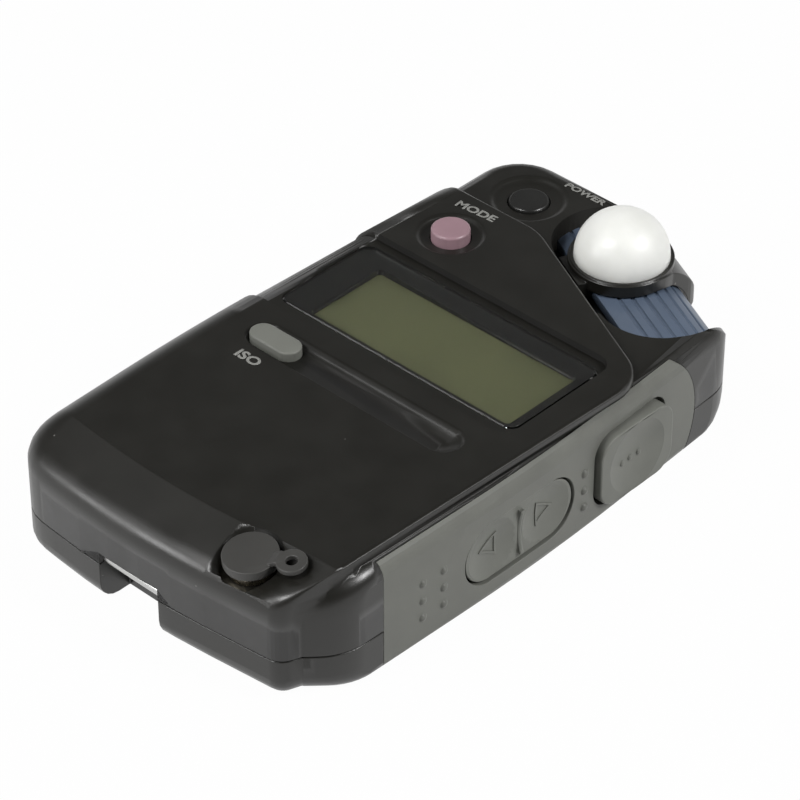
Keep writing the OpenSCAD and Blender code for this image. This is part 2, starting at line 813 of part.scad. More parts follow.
// A round key with a soft top edge and a flange that keeps it in the shell
module round_key(r, top, flange_top, foot) {
    soft = 0.5;
    rotate_extrude() {
        translate([0, foot]) square([r * 0.55, flange_top - foot]);
        translate([0, flange_top - flange_t]) square([r + flange, flange_t]);
        translate([0, flange_top - 0.1]) square([r, top - soft - flange_top + 0.1]);
        translate([0, flange_top]) square([r - soft, top - flange_top]);
        intersection() {
            translate([r - soft, top - soft]) circle(soft);
            square([far, far]);
        }
    }
}

module mode_button() {
    color([0.68, 0.52, 0.58]) translate([mode_at.x, mode_at.y, 0])
        round_key(mode_r, face_z + mode_proud, plate_ceiling_z - seat_gap,
            board_top + switch_t + key_travel + 0.2);
}

module power_button() {
    color([0.12, 0.12, 0.12]) translate([power_at.x, power_at.y, 0])
        round_key(power_r, deck_z - 0.2, ceiling_z - seat_gap, board_top + switch_t + key_travel + 0.2);
}

module film_speed_button() {
    flange_top = plate_ceiling_z - seat_gap;
    color([0.5, 0.51, 0.47]) translate([speed_at.x, speed_at.y, 0]) {
        translate([0, 0, flange_top - flange_t]) linear_extrude(flange_t)
            slot_shape(speed_w + 2 * flange, speed_h + 2 * flange);
        translate([0, 0, flange_top - 0.1]) linear_extrude(speed_top_z - flange_top + 0.1)
            slot_shape(speed_w, speed_h);
        translate([0, 0, board_top + switch_t + key_travel + 0.2])
            cylinder(h = flange_top - board_top - switch_t - key_travel - 0.3, r = 1.8);
    }
}

module face_switches() {
    color([0.3, 0.3, 0.32]) for (p = [mode_at, power_at, speed_at]) translate([p.x, p.y, board_top]) {
        translate([-switch_w / 2, -switch_w / 2, 0]) cube([switch_w, switch_w, switch_t - 0.6]);
        cylinder(h = switch_t, r = 1.6);
    }
}

module measure_button() {
    face_x = side_x + measure_proud - 0.3;
    color([0.45, 0.46, 0.43]) difference() {
        union() {
            along_x(side_flange_x, face_x) translate(measure_at)
                round_rect(measure_w, measure_h, measure_round);
            along_x(side_flange_x, side_flange_x + side_flange_t) translate(measure_at)
                round_rect(measure_w + 2 * side_flange, measure_h + 2 * side_flange, measure_round);
            along_x(side_stem_x, side_flange_x + 0.1) translate(measure_at) circle(2);
        }
        translate([face_x + measure_dish_r - measure_dish, measure_at.x, measure_at.y])
            sphere(measure_dish_r, $fn = 128);
    }
}

module up_down_rocker() {
    half = rocker_w / 2;
    color([0.45, 0.46, 0.43]) difference() {
        union() {
            along_x(key_back_x, rocker_face_x) translate(rocker_at) slot_shape(rocker_w, rocker_h);
            translate([rocker_pin_x, rocker_at.x, rocker_at.y - 3.6]) cylinder(h = 7.2, r = 1.6);
            translate([rocker_face_x - 0.5, rocker_at.x - 0.4, rocker_at.y - rocker_h / 2 + 1])
                cube([rocker_bar + 0.5, 0.8, rocker_h - 2]);
            for (s = [-1, 1]) along_x(rocker_stem_x, key_back_x + 0.1)
                translate(rocker_at + [s * rocker_reach, 0]) circle(1.5);
        }
        for (s = [-1, 1])
            translate([rocker_face_x + rocker_dish_r - rocker_dish, rocker_at.x + s * half / 2, rocker_at.y])
                sphere(rocker_dish_r);
        translate([rocker_pin_x, rocker_at.x, -past]) cylinder(h = far, r = rocker_pin_r + 0.05);
    }
}

module rocker_pin() {
    color("silver") translate([rocker_pin_x, rocker_at.x, rocker_at.y - rocker_h / 2 - 1.2])
        cylinder(h = rocker_h + 2.4, r = rocker_pin_r);
}

module side_board() {
    color([0.1, 0.35, 0.2]) translate([side_board_x, side_board_y, floor_t])
        cube([side_board_t, side_board_len, side_board_h]);
}

module side_switches() {
    x = side_board_x + side_board_t;
    color([0.3, 0.3, 0.32])
        for (p = [measure_at, rocker_at + [rocker_reach, 0], rocker_at - [rocker_reach, 0]])
            translate([x, p.x, p.y]) rotate([0, 90, 0]) {
                translate([-2.5, -2.5, 0]) cube([5, 5, 0.5]);
                cylinder(h = 0.75, r = 1.6);
            }
}

module track_shape() {
    intersection() {
        union() {
            translate([track_left[0], track_left[1]]) circle(track_left[2]);
            translate([track_left[0], track_edge_q]) square([bay_right[0] - track_left[0], far]);
            translate([bay_right[0], bay_right[1]]) circle(bay_right[2] - seat_gap);
        }
        translate([-far, track_edge_q]) square([2 * far, far]);
    }
}

module slide_track() {
    groove_r = 0.3;
    color([0.3, 0.36, 0.48]) difference() {
        intersection() {
            along_slide(-far, far) difference() {
                under_profile(track_edge_q, roll_r, seam_z + 0.1);
                under_profile(track_edge_q - past, roll_r - track_t + seat_gap, seam_z - past);
            }
            in_slide() translate([0, 0, seam_z - past]) linear_extrude(far) track_shape();
        }
        in_slide() {
            translate([sensor_u, sensor_q, 0]) cylinder(h = far, r = lens_r + seat_gap);
            for (k = [0 : track_grooves - 1]) {
                run = groove_first_q + k * groove_step - roll_q;
                turn = max(run, 0) / roll_r * 180 / PI;
                translate([0, roll_q + min(run, 0) + roll_r * sin(turn), roll_z + roll_r * cos(turn)])
                    rotate([0, 90, 0]) cylinder(h = 2 * far, r = groove_r, center = true);
            }
        }
    }
}

// Plan of the carriage: the ring, and a tail that narrows out over the roll
module carriage_shape() {
    tail = [[dome_u - ring_r, dome_q, 0.5, 2], [dome_u + ring_r, dome_q, 0.5, 2],
        [dome_u + tail_right, tail_q, tail_round, 6], [dome_u - tail_left, tail_q, tail_round, 6]];
    translate([dome_u, dome_q]) circle(ring_r);
    polygon(outline(tail, even(tail, 0)));
}

module dome_carriage() {
    r0 = roll_r + saddle_gap;
    color([0.13, 0.13, 0.13]) difference() {
        union() {
            intersection() {
                along_slide(-far, far) difference() {
                    under_profile(bay_q, r0 + saddle_t, saddle_end_z);
                    under_profile(bay_q - past, r0, roll_z - far);
                }
                in_slide() translate([0, 0, seam_z]) linear_extrude(far) carriage_shape();
            }
            in_slide() translate([dome_u, dome_q, carriage_top_z - 1])
                cylinder(h = ring_top_z - carriage_top_z + 1, r = ring_r - 0.3);
            in_slide() translate([dome_u - tongue_w / 2, bay_q + 1.1, bay_floor_z + 0.3])
                cube([tongue_w, track_edge_q - bay_q - 1.4, carriage_top_z - bay_floor_z - 1]);
        }
        in_slide() translate([dome_u, dome_q, dome_base_z]) cylinder(h = far, r = dome_r + seat_gap);
        in_slide() translate([dome_u, dome_q, 0]) cylinder(h = far, r = light_hole_r);
    }
}

module diffuser_dome() {
    color([0.95, 0.95, 0.93]) in_slide() translate([dome_u, dome_q, dome_base_z]) difference() {
        union() {
            cylinder(h = dome_collar, r = dome_r);
            translate([0, 0, dome_collar]) intersection() {
                sphere(dome_r);
                cylinder(h = far, r = far);
            }
        }
        translate([0, 0, dome_collar]) sphere(dome_r - dome_wall);
        translate([0, 0, -past]) cylinder(h = past + dome_collar, r = dome_r - dome_wall);
    }
}

module receptor_lens() {
    color([0.8, 0.85, 0.85, 0.6]) in_slide() translate([sensor_u, sensor_q, bay_floor_z - bay_wall])
        cylinder(h = track_t + bay_wall - 0.3, r = lens_r);
}

module receptor_tube() {
    color([0.1, 0.1, 0.1]) in_slide() translate([sensor_u, sensor_q, board_top]) difference() {
        cylinder(h = bay_floor_z - bay_wall - tube_gap - board_top, r = lens_r + 0.8);
        translate([0, 0, -past]) cylinder(h = far, r = lens_r - 0.6);
    }
}

module photo_sensor() {
    color([0.2, 0.2, 0.3]) in_slide() translate([sensor_u, sensor_q, board_top])
        cylinder(h = 1, r = lens_r - 0.8);
}

module sync_socket() {
    color([0.78, 0.7, 0.5]) on_socket() difference() {
        union() {
            translate([0, 0, -recess_depth]) cylinder(h = recess_depth, r = socket_r);
            translate([0, 0, -recess_depth - socket_len])
                cylinder(h = socket_len + 0.1, r = socket_barrel_r);
        }
        translate([0, 0, -recess_depth - socket_depth]) cylinder(h = far, r = socket_bore_r);
        translate([0, 0, -recess_depth - socket_len + socket_floor])
            cylinder(h = far, r = insulator_r + seat_gap);
    }
}

module sync_insulator() {
    color([0.9, 0.9, 0.85]) on_socket() translate([0, 0, -recess_depth - socket_len + socket_floor])
        difference() {
            cylinder(h = socket_len - socket_floor - socket_depth, r = insulator_r);
            translate([0, 0, -past]) cylinder(h = far, r = pin_r + seat_gap);
        }
}

module sync_pin() {
    color("gold") on_socket() translate([0, 0, -recess_depth - socket_len + socket_floor])
        cylinder(h = socket_len - socket_floor - socket_depth, r = pin_r);
}

module sync_cap() {
    out = norm(tab_at);
    root = cap_r - tab_root;
    color([0.2, 0.2, 0.2]) on_socket() difference() {
        union() {
            translate([0, 0, -cap_skirt]) cylinder(h = cap_skirt + cap_lift + cap_t, r = cap_r);
            translate([tab_at.x, tab_at.y, tab_lift]) cylinder(h = tab_t, r = tab_r);
            rotate(atan2(tab_at.y, tab_at.x)) rotate([90, 0, 0]) linear_extrude(tab_w, center = true)
                polygon([[root, cap_lift], [out - tab_r, tab_lift], [out, tab_lift],
                    [out, tab_lift + tab_t], [out - tab_r, tab_lift + tab_t], [root, cap_lift + cap_t]]);
        }
        translate([0, 0, -far]) cylinder(h = far + cap_lift, r = socket_r + cap_gap);
        translate([tab_at.x, tab_at.y, -past]) cylinder(h = far, r = tab_hole_r);
    }
}

module strap_bar() {
    half = notch_w / 2 + bar_grip - 0.1;
    color("silver") translate([notch_x - half, bar_y, bar_z]) rotate([0, 90, 0])
        cylinder(h = 2 * half, r = bar_r);
}

module battery_door() {
    color([0.15, 0.15, 0.14]) difference() {
        intersection() {
            back_block(FACE, FACE_BACK);
            door_shape(0);
        }
        for (k = [0 : 4]) translate([-22 + 1.6 * k, cell_y - 5, -past]) cube([0.8, 10, past + 0.35]);
    }
}

module aa_cell() {
    color([0.75, 0.6, 0.3]) translate([cell_x - cell_len / 2, cell_y, cell_z]) rotate([0, 90, 0]) {
        cylinder(h = cell_len, r = cell_r);
        cylinder(h = cell_len + cell_nub, r = cell_nub_r);
    }
}

// Points of a tapering coil, and a thin tube swept round them
function coil(t) = let (r = spring_r1 + (spring_r2 - spring_r1) * t)
    [spring_wire_r + t * (spring_len - 2 * spring_wire_r), r * cos(360 * spring_turns * t),
        r * sin(360 * spring_turns * t)];

module battery_spring() {
    rings = spring_turns * 16;
    sides = 6;
    path = [for (i = [0 : rings]) coil(i / rings)];
    points = [for (i = [0 : rings]) for (k = [0 : sides - 1])
        let (a = 360 * spring_turns * i / rings, b = 360 * k / sides)
        path[i] + spring_wire_r * [sin(b), cos(b) * cos(a), cos(b) * sin(a)]];
    walls = [for (i = [0 : rings - 1]) for (k = [0 : sides - 1])
        let (a = i * sides + k, b = i * sides + (k + 1) % sides)
        each [[a, b + sides, b], [a, a + sides, b + sides]]];
    start = [for (k = [1 : sides - 2]) [0, k, k + 1]];
    end = [for (k = [1 : sides - 2]) [rings * sides, rings * sides + k + 1, rings * sides + k]];
    color("silver") translate([cell_x - cell_len / 2 - spring_len, cell_y, cell_z])
        polyhedron(points, concat(start, walls, end));
}

module spring_contact() {
    wide = 11;
    color("silver") translate([cell_x - cell_len / 2 - spring_len - contact_t, cell_y - wide / 2, sill_z])
        cube([contact_t, wide, cell_z + wide / 2 - sill_z]);
}

module nub_contact() {
    wide = 9;
    color("silver") translate([cell_x + cell_len / 2 + cell_nub, cell_y - wide / 2, floor_t])
        cube([contact_t, wide, cell_z + wide / 2 - floor_t]);
}

front_shell();
rear_shell();
side_grip();
display_window();
lcd_panel();
lcd_holder();
contact_strips();
main_board();
board_chips();
board_screws();
power_button();
mode_button();
film_speed_button();
face_switches();
measure_button();
up_down_rocker();
rocker_pin();
side_board();
side_switches();
slide_track();
dome_carriage();
diffuser_dome();
receptor_lens();
receptor_tube();
photo_sensor();
sync_socket();
sync_insulator();
sync_pin();
sync_cap();
strap_bar();
battery_door();
aa_cell();
battery_spring();
spring_contact();
nub_contact();
case_screws();
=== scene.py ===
# %% [markdown]
# # A handheld light meter
# A pocket meter with a black moulded case, a blank display under a clear window, a grey grip
# with two keys down its right side, and a white dome that slides along a blue track on the
# slanted end. The construction model gives every solid its size and its joint. This lesson
# gives each surface its finish, softens the edges as a moulding tool does, and adds the
# small marks that are printed or moulded on the keys.

# %% Load the construction model
import json
import math
import bpy
from mathutils import Matrix, Vector


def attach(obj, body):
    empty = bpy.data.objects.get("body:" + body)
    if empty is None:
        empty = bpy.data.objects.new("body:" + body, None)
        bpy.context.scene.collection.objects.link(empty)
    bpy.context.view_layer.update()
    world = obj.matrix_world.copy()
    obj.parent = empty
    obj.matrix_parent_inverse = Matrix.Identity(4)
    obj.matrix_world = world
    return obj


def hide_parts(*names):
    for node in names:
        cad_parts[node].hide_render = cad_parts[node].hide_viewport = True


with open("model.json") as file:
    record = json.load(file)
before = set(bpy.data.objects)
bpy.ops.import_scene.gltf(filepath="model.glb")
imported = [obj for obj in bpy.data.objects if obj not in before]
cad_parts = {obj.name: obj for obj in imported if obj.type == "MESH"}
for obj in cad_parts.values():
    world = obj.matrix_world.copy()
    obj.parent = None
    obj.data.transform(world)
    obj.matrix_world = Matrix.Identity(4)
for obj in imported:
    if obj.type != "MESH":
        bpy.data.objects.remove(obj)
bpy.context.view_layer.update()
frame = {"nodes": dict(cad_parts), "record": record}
MM = 0.001
scene = bpy.context.scene
scene.tool_settings.mesh_select_mode = (False, False, True)
for plain in bpy.data.materials:
    plain.name = "plain_" + plain.name

# %% [markdown]
# ## Camera
# The picture is taken from the right, in front and above, with a long lens, so parallel
# edges of the case stay nearly parallel. A camera can be aimed with a Track To constraint,
# but writing its three axes into a matrix keeps the aim exact and leaves no constraint behind.

# %% Camera
aim = Vector((7.2, -9.2, 21.5)) * MM
cam_right = Vector((0.7266, 0.6871, 0.0)).normalized()
cam_back = Vector((0.5440, -0.5752, 0.6110)).normalized()
cam_up = cam_back.cross(cam_right).normalized()
cam_distance = 557.9 * MM
cam_data = bpy.data.cameras.new("camera")
cam_data.lens = 169.2
cam_data.sensor_width = 36
cam_data.clip_start = 0.02
camera = bpy.data.objects.new("camera", cam_data)
scene.collection.objects.link(camera)
camera_axes = Matrix((cam_right, cam_up, cam_back)).transposed().to_4x4()
camera.matrix_world = Matrix.Translation(aim + cam_back * cam_distance) @ camera_axes
scene.camera = camera
scene.view_settings.view_transform = "Standard"
print("camera at", [round(v, 3) for v in camera.matrix_world.translation])

# %% [markdown]
# ## Floor
# The meter lies on a white sheet. A white emitting floor would lose the shadow, and a plain
# diffuse one turns grey where the light falls off. So the floor is diffuse for the light
# that bounces off it, and rays from the camera, mirrors and glass see it nearly white.

# %% Floor
sheet_grey = 0.55
sheet_glow = 0.98
bpy.ops.object.select_all(action="DESELECT")
bpy.ops.mesh.primitive_plane_add(size=6, location=(0, 0, 0))
floor = bpy.context.object
floor.name = "floor"
floor_mat = bpy.data.materials.new("white_sheet")
floor_mat.use_nodes = True
fn = floor_mat.node_tree.nodes
fl = floor_mat.node_tree.links
fn.clear()
sheet = fn.new("ShaderNodeBsdfDiffuse")
sheet.inputs["Color"].default_value = (sheet_grey, sheet_grey, sheet_grey, 1)
glow = fn.new("ShaderNodeEmission")
glow.inputs["Color"].default_value = (1, 1, 1, 1)
ray = fn.new("ShaderNodeLightPath")
seen = fn.new("ShaderNodeMath")
seen.operation = "MAXIMUM"
fl.new(ray.outputs["Is Camera Ray"], seen.inputs[0])
mirrored = fn.new("ShaderNodeMath")
mirrored.operation = "MAXIMUM"
fl.new(ray.outputs["Is Glossy Ray"], mirrored.inputs[0])
fl.new(ray.outputs["Is Transmission Ray"], mirrored.inputs[1])
fl.new(mirrored.outputs[0], seen.inputs[1])
share = fn.new("ShaderNodeMath")
share.operation = "MULTIPLY"
share.inputs[1].default_value = sheet_glow
fl.new(seen.outputs[0], share.inputs[0])
both = fn.new("ShaderNodeMixShader")
fl.new(share.outputs[0], both.inputs["Fac"])
fl.new(sheet.outputs["BSDF"], both.inputs[1])
fl.new(glow.outputs["Emission"], both.inputs[2])
floor_out = fn.new("ShaderNodeOutputMaterial")
fl.new(both.outputs[0], floor_out.inputs["Surface"])
floor.data.materials.append(floor_mat)
print("floor:", floor.name)

# %% [markdown]
# ## Light
# Behind the meter the sheet sweeps up into a bright wall, which the rounded edges of the
# black case mirror, and on the camera's side the room is dim. A gradient in the world gives
# that without a wall. Area lamps stand in for soft boxes. A white dome shows where they are:
# it mirrors one on the right and one in front, so the key and the fill stand there. A low box
# on the left draws a line along the rounded end, and three weak ones pick out the slope and
# the window's edges. None stands where the flat face would mirror it, so black stays black.

# %% World
to_the_wall = (-0.69, 0.73, 0.0)
world = bpy.data.worlds.new("studio")
scene.world = world
world.use_nodes = True
wn = world.node_tree.nodes
wl = world.node_tree.links
wn.clear()
room = wn.new("ShaderNodeBackground")
room.inputs["Color"].default_value = (1, 1, 1, 1)
direction = wn.new("ShaderNodeTexCoord").outputs["Generated"]
rise = wn.new("ShaderNodeSeparateXYZ")
wl.new(direction, rise.inputs["Vector"])
sweep = wn.new("ShaderNodeMapRange")
sweep.interpolation_type = "SMOOTHSTEP"
sweep.inputs["From Min"].default_value = 0.05
sweep.inputs["From Max"].default_value = 0.45
sweep.inputs["To Min"].default_value = 0.8
sweep.inputs["To Max"].default_value = 0.12
wl.new(rise.outputs["Z"], sweep.inputs["Value"])
behind = wn.new("ShaderNodeVectorMath")
behind.operation = "DOT_PRODUCT"
behind.inputs[1].default_value = to_the_wall
wl.new(direction, behind.inputs[0])
backdrop = wn.new("ShaderNodeMapRange")
backdrop.interpolation_type = "SMOOTHSTEP"
backdrop.inputs["From Min"].default_value = -0.3
backdrop.inputs["From Max"].default_value = 0.5
backdrop.inputs["To Min"].default_value = 0.3
backdrop.inputs["To Max"].default_value = 1.0
wl.new(behind.outputs["Value"], backdrop.inputs["Value"])
fade = wn.new("ShaderNodeMath")
fade.operation = "MULTIPLY"
wl.new(sweep.outputs["Result"], fade.inputs[0])
wl.new(backdrop.outputs["Result"], fade.inputs[1])
wl.new(fade.outputs[0], room.inputs["Strength"])
white_wall = wn.new("ShaderNodeBackground")
white_wall.inputs["Color"].default_value = (1, 1, 1, 1)
white_wall.inputs["Strength"].default_value = 1.0
wray = wn.new("ShaderNodeLightPath")
wmix = wn.new("ShaderNodeMixShader")
wl.new(wray.outputs["Is Camera Ray"], wmix.inputs["Fac"])
wl.new(room.outputs[0], wmix.inputs[1])
wl.new(white_wall.outputs[0], wmix.inputs[2])
world_out = wn.new("ShaderNodeOutputWorld")
wl.new(wmix.outputs[0], world_out.inputs["Surface"])
print("world:", world.name)

# %% Soft boxes


def soft_box(name, place, target, size, watts):
    """An area lamp at a place, turned so that it shines at the target."""
    data = bpy.data.lights.new(name, "AREA")
    data.shape = "RECTANGLE"
    data.size, data.size_y = size
    data.energy = watts
    lamp = bpy.data.objects.new(name, data)
    scene.collection.objects.link(lamp)
    way = Vector(place) - Vector(target)
    lamp.matrix_world = Matrix.Translation(place) @ way.to_track_quat("Z", "Y").to_matrix().to_4x4()


face_middle = (0, 0, 0.02)
soft_box("key_box", (0.72, 0.27, 0.71), face_middle, (0.26, 0.26), 8.0)
soft_box("fill_box", (-0.15, -0.68, 0.80), face_middle, (0.26, 0.26), 6.4)
soft_box("left_box", (-0.52, -0.85, 0.33), (0, -0.03, 0.01), (0.4, 0.3), 3.4)
soft_box("front_box", (-0.54, -0.59, 0.55), face_middle, (0.2, 0.2), 0.32)
soft_box("slope_box", (-0.50, -0.03, 0.80), face_middle, (0.4, 0.4), 0.2)
soft_box("back_box", (0.6, 0.62, 0.55), (0.02, 0.02, 0.01), (0.4, 0.3), 0.5)

# %% [markdown]
# ## Shared finishes
# Three effects turn up on nearly every piece: the fine spark-eroded grain of moulded
# plastic, a paler rub where hands polish an edge, and a few specks of dust. Each could be
# built again in every material, but a node group keeps one copy with its own inputs.

# %% Helpers for node groups


def new_group(name, inputs, outputs):
    """An empty shader node group with float sockets, apart from one named Vector."""
    group = bpy.data.node_groups.new(name, "ShaderNodeTree")
    for label, value in inputs:
        kind = "NodeSocketVector" if label == "Vector" else "NodeSocketFloat"
        socket = group.interface.new_socket(name=label, in_out="INPUT", socket_type=kind)
        if kind == "NodeSocketFloat":
            socket.default_value = value
    for label in outputs:
        group.interface.new_socket(name=label, in_out="OUTPUT", socket_type="NodeSocketFloat")
    return group, group.nodes.new("NodeGroupInput"), group.nodes.new("NodeGroupOutput")


def math_node(tree, operation, *values, clamp=False):
    """A Math node whose inputs are links or numbers; gives back its output."""
    node = tree.nodes.new("ShaderNodeMath")
    node.operation = operation
    node.use_clamp = clamp
    for socket, value in zip(node.inputs, values):
        if isinstance(value, (int, float)):
            socket.default_value = value
        else:
            tree.links.new(value, socket)
    return node.outputs[0]


def span(tree, value, low, high):
    """A Map Range node from low..high to 0..1, held inside that range."""
    node = tree.nodes.new("ShaderNodeMapRange")
    node.inputs["From Min"].default_value = low
    node.inputs["From Max"].default_value = high
    tree.links.new(value, node.inputs["Value"])
    return node.outputs["Result"]


def noise(tree, vector, scale, detail):
    """A Noise Texture on a vector; scale is a number or a link."""
    node = tree.nodes.new("ShaderNodeTexNoise")
    node.inputs["Detail"].default_value = detail
    tree.links.new(vector, node.inputs["Vector"])
    if isinstance(scale, (int, float)):
        node.inputs["Scale"].default_value = scale
    else:
        tree.links.new(scale, node.inputs["Scale"])
    return node.outputs["Fac"]


# %% [markdown]
# ### Moulded grain
# A mould is spark-eroded, so a plastic case has a fine, even grain and, over a wider stretch,
# patches that are a little duller or glossier. A picture of plastic could be tiled over it,
# but it would repeat. Two noise textures of different scale give both at any distance.

# %% Moulded grain
grain, g_in, g_out = new_group("moulded_grain", [("Vector", None), ("Scale", 4000.0)], ["Height", "Cloud"])
fine = noise(grain, g_in.outputs["Vector"], g_in.outputs["Scale"], 3.0)
broad_scale = math_node(grain, "MULTIPLY", g_in.outputs["Scale"], 0.03)
broad = noise(grain, g_in.outputs["Vector"], broad_scale, 4.0)
grain.links.new(fine, g_out.inputs["Height"])
grain.links.new(span(grain, broad, 0.3, 0.7), g_out.inputs["Cloud"])
print("group:", grain.name)

# %% [markdown]
# ### Rubbed edges
# Hands polish the edges of a case. They could be painted, but the Bevel node finds them: it
# gives the normal that a rounded edge would have, and where that departs from the true
# normal, an edge is near. A noise texture then breaks the line up.

# %% Rubbed edges
rub, r_in, r_out = new_group("rubbed_edge", [("Vector", None), ("Reach", 0.0004)], ["Mask"])
rounded = rub.nodes.new("ShaderNodeBevel")
rounded.samples = 4
rub.links.new(r_in.outputs["Reach"], rounded.inputs["Radius"])
surface = rub.nodes.new("ShaderNodeNewGeometry")
turn = rub.nodes.new("ShaderNodeVectorMath")
turn.operation = "DOT_PRODUCT"
rub.links.new(rounded.outputs["Normal"], turn.inputs[0])
rub.links.new(surface.outputs["Normal"], turn.inputs[1])
edge = span(rub, math_node(rub, "SUBTRACT", 1.0, turn.outputs["Value"]), 0.02, 0.2)
patch = span(rub, noise(rub, r_in.outputs["Vector"], 260.0, 4.0), 0.42, 0.62)
rub.links.new(math_node(rub, "MULTIPLY", edge, patch, clamp=True), r_out.inputs["Mask"])
print("group:", rub.name)

# %% [markdown]
# ### Dust
# A few pale specks lie on a meter that has been in a pocket. Particles would be hundreds of
# objects for something this small. A Voronoi texture scatters points instead, and only some
# of its cells get a speck, each of its own size.

# %% Dust
largest_speck = 0.045
bare_cells = 0.62
dust, d_in, d_out = new_group("dust_specks", [("Vector", None), ("Count", 260.0)], ["Mask"])
cells = dust.nodes.new("ShaderNodeTexVoronoi")
dust.links.new(d_in.outputs["Vector"], cells.inputs["Vector"])
dust.links.new(d_in.outputs["Count"], cells.inputs["Scale"])
picked = dust.nodes.new("ShaderNodeSeparateColor")
dust.links.new(cells.outputs["Color"], picked.inputs["Color"])
size = math_node(dust, "MULTIPLY", picked.outputs["Green"], largest_speck)
speck = math_node(dust, "LESS_THAN", cells.outputs["Distance"], size)
chosen = math_node(dust, "GREATER_THAN", picked.outputs["Red"], bare_cells)
dust.links.new(math_node(dust, "MULTIPLY", speck, chosen), d_out.inputs["Mask"])
print("groups:", [g.name for g in bpy.data.node_groups])

# %% [markdown]
# ## Plastics
# The case is a satin black ABS with a warm cast, the grip and keys are a mid grey of the
# same kind, and the track is slate blue. Each could have a material of its own from scratch,
# but they differ in amounts alone. So one function lays grain, cloudy roughness, rubbed edges
# and dust over a base colour, and the clean plastics inside the case come from a table.

# %% Helpers for materials


def link_group(tree, group, vector, **values):
    """Places a shared group in a material's tree with its own values."""
    node = tree.nodes.new("ShaderNodeGroup")
    node.node_tree = group
    tree.links.new(vector, node.inputs["Vector"])
    for label, value in values.items():
        node.inputs[label].default_value = value
    return node


def blend_colour(tree, amount, under, over):
    """A Mix node between two colours; under may be a link."""
    node = tree.nodes.new("ShaderNodeMix")
    node.data_type = "RGBA"
    tree.links.new(amount, node.inputs[0])
    for socket, value in ((node.inputs[6], under), (node.inputs[7], over)):
        if isinstance(value, tuple):
            socket.default_value = value + (1.0,)
        else:
            tree.links.new(value, socket)
    return node.outputs[2]


# %% Plastic materials
cloud_shade = 0.86
cloud_rough = 0.08
rub_gloss = 0.1
dust_pale = (0.45, 0.44, 0.42)


def plastic(name, colour, roughness, grain_scale=5200.0, grain_depth=0.1, rubbed=0.35, dusty=0.25,
            specular=0.5):
    """A moulded plastic: cloudy base colour, rubbed edges, dust, grain in the bump."""
    mat = bpy.data.materials.new(name)
    mat.use_nodes = True
    tree = mat.node_tree
    shader = tree.nodes["Principled BSDF"]
    shader.inputs["Specular IOR Level"].default_value = specular
    place = tree.nodes.new("ShaderNodeTexCoord").outputs["Object"]
    skin = link_group(tree, grain, place, Scale=grain_scale)
    worn = link_group(tree, rub, place, Reach=0.00035)
    specks = link_group(tree, dust, place, Count=210.0)
    dark = tuple(c * cloud_shade for c in colour)
    base = blend_colour(tree, skin.outputs["Cloud"], dark, colour)
    pale = tuple(min(1.0, c * 1.6 + 0.02) for c in colour)
    wear = math_node(tree, "MULTIPLY", worn.outputs["Mask"], rubbed)
    base = blend_colour(tree, wear, base, pale)
    fall = math_node(tree, "MULTIPLY", specks.outputs["Mask"], dusty)
    base = blend_colour(tree, fall, base, dust_pale)
    tree.links.new(base, shader.inputs["Base Color"])
    least = roughness - cloud_rough / 2
    rough = math_node(tree, "MULTIPLY_ADD", skin.outputs["Cloud"], cloud_rough, least)
    gloss = math_node(tree, "MULTIPLY", worn.outputs["Mask"], rub_gloss)
    tree.links.new(math_node(tree, "SUBTRACT", rough, gloss), shader.inputs["Roughness"])
    bump = tree.nodes.new("ShaderNodeBump")
    bump.inputs["Strength"].default_value = grain_depth
    bump.inputs["Distance"].default_value = 0.00004
    tree.links.new(skin.outputs["Height"], bump.inputs["Height"])
    tree.links.new(bump.outputs["Normal"], shader.inputs["Normal"])
    return mat


shell_black = plastic("shell_black", (0.0115, 0.011, 0.009), 0.33, grain_depth=0.3, rubbed=0.3,
                      specular=0.57)
key_black = plastic("key_black", (0.016, 0.016, 0.015), 0.3, grain_depth=0.12, rubbed=0.3)
cap_rubber = plastic("cap_rubber", (0.045, 0.044, 0.041), 0.5, grain_depth=0.5, rubbed=0.5, dusty=0.5)
grip_grey = plastic("grip_grey", (0.150, 0.153, 0.137), 0.44, grain_depth=0.35, rubbed=0.25, specular=0.3)
key_grey = plastic("key_grey", (0.165, 0.169, 0.151), 0.42, grain_depth=0.25, rubbed=0.35, specular=0.25)
key_pink = plastic("key_pink", (0.315, 0.2, 0.228), 0.4, grain_depth=0.15, rubbed=0.3)
track_blue = plastic("track_blue", (0.092, 0.121, 0.172), 0.42, grain_depth=0.25, rubbed=0.3)
legend_ink = plastic("legend_ink", (0.24, 0.24, 0.225), 0.5, grain_depth=0.1, rubbed=0.0, dusty=0.0)
inside_plastics = (("holder_black", (0.03, 0.03, 0.03), 0.55), ("chip_black", (0.02, 0.02, 0.02), 0.5),
                   ("switch_grey", (0.08, 0.08, 0.09), 0.5), ("strip_rubber", (0.6, 0.3, 0.35), 0.6),
                   ("insulator_cream", (0.72, 0.70, 0.62), 0.5), ("board_green", (0.02, 0.12, 0.05), 0.35),
                   ("cell_label", (0.05, 0.05, 0.06), 0.3), ("sensor_dark", (0.03, 0.03, 0.06), 0.1))
for name, colour, roughness in inside_plastics:
    plastic(name, colour, roughness, dusty=0.0)
print("materials with the plastics:", len(bpy.data.materials))

# %% [markdown]
# ## Metals
# The strap bar and screws are brushed steel, and the socket is nickel over brass. A picture
# of brushed metal would need to be fitted to each piece. A noise texture that is stretched
# along one axis gives the streaks without one.

# %% Metals
bright_rub = (0.85, 0.84, 0.8)


